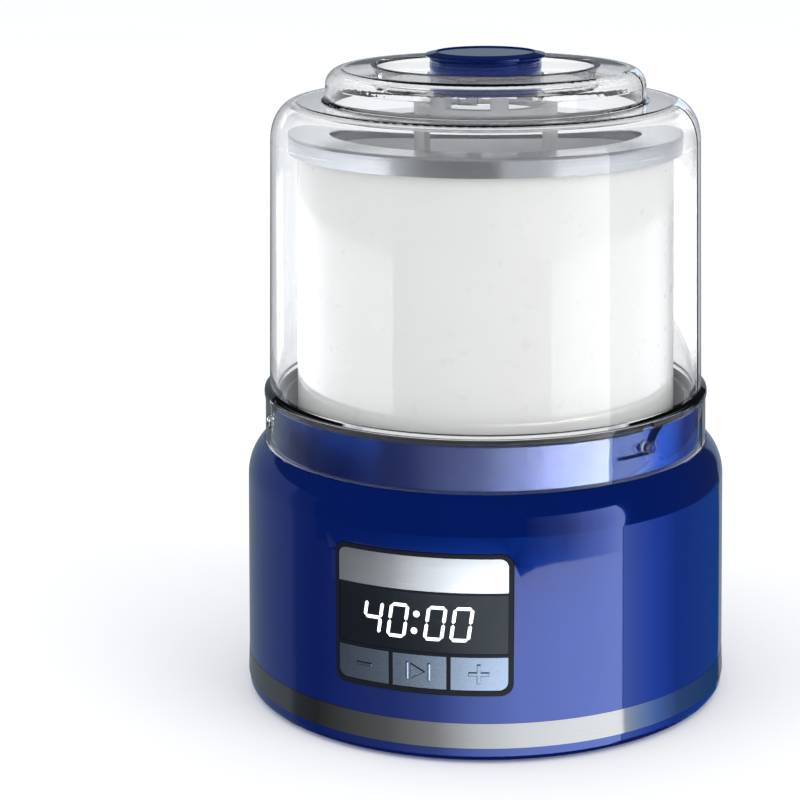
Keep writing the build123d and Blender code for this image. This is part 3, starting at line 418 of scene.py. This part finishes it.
def soft_lamp(name, azimuth, elevation, power):
    """A soft lamp aimed at the foot of the object, which lights its surfaces and isn't seen in them."""
    data = bpy.data.lights.new(name, "AREA")
    data.shape = "SQUARE"
    data.size = LAMP_SIZE
    data.energy = power
    lamp = bpy.data.objects.new(name, data)
    bpy.context.scene.collection.objects.link(lamp)
    lamp.location = direction(azimuth, elevation) * LAMP_DISTANCE
    lamp.rotation_euler = (-lamp.location).to_track_quat("-Z", "Y").to_euler()
    lamp.visible_camera = False
    lamp.visible_glossy = False
    lamp.visible_transmission = False


WHITE, WARM, COOL, SKY = (0.96, 0.98, 1.0), (1.0, 0.94, 0.77), (0.78, 0.88, 1.0), (0.6, 0.75, 1.0)
FAR, NEAR, NEAREST = 1.6, 1.55, 1.5    # distances of the upright soft boxes; a near one hides a far one
FLOOR_SIDE = -1.2                      # the lowest edge of the soft boxes; the floor isn't in their way
ALL_ROUND = [(-180, 1.0), (180, 1.0)]


def light_base():
    """Soft boxes for the base: a strong one from the right, which fades to the left, and weak ones."""
    top, split, shoulder = 0.8, -0.36, -0.285
    light_wall("key_card",
               [(-70, 0.02), (-29, 0.1), (-8, 0.22), (11, 0.6), (31, 0.85), (51, 0.93), (80.5, 1.0)],
               FLOOR_SIDE, split, FAR, WHITE, 3.2)
    light_wall("key_top", [(31, 0.0), (51, 0.15), (70, 0.6), (80.5, 1.0)], split, top, FAR, WHITE, 3.0)
    light_wall("strip_card",
               [(-64, 0.075), (-56, 0.11), (-39, 0.19), (-29, 0.32), (-13, 0.79), (2, 1.0), (27, 1.0)],
               -0.378, -0.336, NEAR, WHITE, 2.4)
    light_wall("right_card",
               [(81, (0.62, 0.75, 0.9)), (90, (0.35, 0.5, 0.9)), (100, (0.15, 0.3, 0.8)),
                (115, (0.06, 0.13, 0.35)), (162, (0.01, 0.05, 0.16))],
               FLOOR_SIDE, shoulder, FAR, WHITE, 1.6)
    light_wall("edge_card", [(163, 0.7), (200, 1.0)], FLOOR_SIDE, 0.3, FAR, COOL, 0.45)
    light_wall("left_card", [(-175, 1.0), (-89, 0.9), (-84, 0.4), (-70, 0.3)],
               FLOOR_SIDE, 0.6, FAR, COOL, 0.27)
    light_wall("back_card", [(175, 1.0), (215, 1.0)], 0.3, 0.62, 1.9, SKY, 1.4)


def light_collar():
    """Soft boxes for the collar, which is seen through the skirt of the lid."""
    low, high = -0.42, -0.282
    light_wall("skirt_card",
               [(-60, 0.0), (-25, 0.03), (12, 0.17), (35, 0.45), (51, 0.8), (75, 1.0), (80.5, 1.0)],
               low, high, NEAR, WARM, 15.0, COVERED)
    light_wall("skirt_right",
               [(81, (1.0, 1.0, 1.0)), (97, (0.9, 1.0, 1.0)), (117, (0.1, 0.3, 1.0)),
                (140, (0.0, 0.02, 0.15)), (180, (0.0, 0.01, 0.06))],
               low, high, NEAR, WHITE, 3.5, COVERED)
    light_wall("skirt_left", [(-178, 1.0), (-125, 0.4), (-98, 0.0), (-60, 0.0)], low, high, NEAR, COOL, 0.8,
               COVERED)


def light_bowl():
    """Soft boxes for the bowl and its rim, seen through the lid, and for the lid's own thickness."""
    foot, rim, top = -0.282, -0.04, 0.12
    light_wall("bowl_left", [(-178, 0.9), (-40, 1.0)], foot, rim, NEAREST, WHITE, 4.5, COVERED)
    light_wall("bowl_right", [(53, 1.0), (130, 0.9), (165, 0.0)], foot, rim, NEAREST, WHITE, 3.8, COVERED)
    light_wall("rim_card",
               [(-178, 0.85), (-50, 1.0), (-35, 0.7), (-18, 0.2), (0, 0.12), (22, 0.15), (24.5, 0.75),
                (182, 0.7)],
               rim, top, NEAREST, WHITE, 1.3, COVERED)
    light_wall("lid_wall", ALL_ROUND, -0.5, 9.0, 2.5, WHITE, 0.5, COVERED)
    light_wall("lid_back", [(110, 0.0), (130, 1.0), (260, 1.0), (280, 0.0)],
               0.3, 1.6, 2.4, WHITE, 1.2, COVERED)
    light_wall("edge_wall", ALL_ROUND, -0.27, 6.0, 1.65, WHITE, 0.9, INSIDE)
    light_wall("edge_low", ALL_ROUND, -3.0, -0.27, 1.65, COOL, 0.12, INSIDE)


def make_lights():
    """Soft boxes, which only glossy surfaces show, and weak lamps that light the rest."""
    light_base()
    light_collar()
    light_bowl()
    soft_lamp("right_lamp", 65, 32, 13.0)
    soft_lamp("left_lamp", -50, 45, 5.0)
    soft_lamp("low_right", 70, 5, 15.0)
    soft_lamp("low_left", -45, 5, 15.0)


# ---------------------------------------------------------------- raised symbols on the buttons
SYMBOL_RISE = 0.5 * MM       # above the button's face
SYMBOL_ROOT = 0.2 * MM       # below it
SYMBOL_BEVEL = 0.3 * MM


def button_front():
    """The cone that the buttons' faces lie on, as (radius at height 0, change of radius per metre up)."""
    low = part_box("button_start")[0]
    strip_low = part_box("panel_strip")[0]
    button_out, strip_out = 0.6 * MM, 0.5 * MM    # how far each stands out of the base's wall
    chamfer = 0.4 * MM
    z0, r0 = low.z + chamfer, -low.y - button_out
    z1, r1 = strip_low.z, -strip_low.y - strip_out
    slope = (r1 - r0) / (z1 - z0)
    return r0 + button_out - slope * z0, slope


def capsule(x0, z0, x1, z1, half_width):
    """A stroke with round ends from one point to another, as its outline."""
    end_steps = 6
    along = math.atan2(z1 - z0, x1 - x0)
    points = []
    for x, z, start in ((x1, z1, along - math.pi / 2), (x0, z0, along + math.pi / 2)):
        for k in range(end_steps + 1):
            a = start + math.pi * k / end_steps
            points.append((x + half_width * math.cos(a), z + half_width * math.sin(a)))
    return points


def plus_outline(arm, half_width):
    """A plus sign about the origin, as its outline."""
    a, w = arm, half_width
    return [(a, -w), (a, w), (w, w), (w, a), (-w, a), (-w, w),
            (-a, w), (-a, -w), (-w, -w), (-w, -a), (w, -a), (w, -w)]


def triangle(width, height, inset):
    """A triangle that points to the right, from its left side at x = 0, shrunk by an inset on each side."""
    half = height / 2
    inner_r = width * half / (half + math.hypot(width, half))
    share = 1 - inset / inner_r
    return [(inner_r + (x - inner_r) * share, z * share) for x, z in ((0, -half), (width, 0), (0, half))]


def raised(name, button, shapes, material):
    """Raised shapes on a button's curved face.

    A shape is its outline and the inset outline of its top, in millimetres from the button's centre.
    """
    low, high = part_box(button)
    cx, cz = (low.x + high.x) / 2, (low.z + high.z) / 2
    radius, slope = button_front()
    bm = bmesh.new()
    for outer, inner in shapes:
        rings = []
        levels = ((outer, -SYMBOL_ROOT), (outer, SYMBOL_RISE - SYMBOL_BEVEL), (inner, SYMBOL_RISE))
        for outline, rise in levels:
            row = []
            for px, pz in outline:
                x, z = cx + px * MM, cz + pz * MM
                out = radius + slope * z + rise
                row.append(bm.verts.new((x, -math.sqrt(out ** 2 - x ** 2), z)))
            rings.append(row)
        for near, far in zip(rings, rings[1:]):
            for i in range(len(near)):
                k = (i + 1) % len(near)
                bm.faces.new((near[i], near[k], far[k], far[i]))
        bm.faces.new(rings[-1])
        bm.faces.new(reversed(rings[0]))
    bmesh.ops.recalc_face_normals(bm, faces=bm.faces)
    mesh = bpy.data.meshes.new(name)
    bm.to_mesh(mesh)
    bm.free()
    piece = bpy.data.objects.new(name, mesh)
    bpy.context.scene.collection.objects.link(piece)
    mesh.materials.append(material)
    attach(piece, button)


def stroke(x0, z0, x1, z1, half_width):
    """A raised stroke: its outline and the inset outline of its top."""
    return capsule(x0, z0, x1, z1, half_width), capsule(x0, z0, x1, z1, half_width - SYMBOL_BEVEL / MM)


def make_symbols(material):
    """Minus, play or pause, and plus; their sizes are in millimetres."""
    inset = SYMBOL_BEVEL / MM
    raised("minus_sign", "button_minus", [stroke(-2.9, 0, 2.9, 0, 0.7)], material)
    play = [[(x - 3.6, z) for x, z in triangle(6.2, 6.6, shrunk)] for shrunk in (0, inset)]
    bars = [stroke(x, -3.2, x, 3.2, half_width) for x, half_width in ((-4.9, 0.55), (3.9, 0.6))]
    raised("play_pause_sign", "button_start", [bars[0], play, bars[1]], material)
    arm, half_width = 4.0, 0.8
    plus = (plus_outline(arm, half_width), plus_outline(arm - inset, half_width - inset))
    raised("plus_sign", "button_plus", [plus], material)


# ---------------------------------------------------------------- build
make_camera()
make_world()
make_floor()
make_lights()
materials = make_materials()
paint_nodes(materials)
make_symbols(materials["button_silver"])
bpy.context.scene.view_settings.view_transform = "Standard"
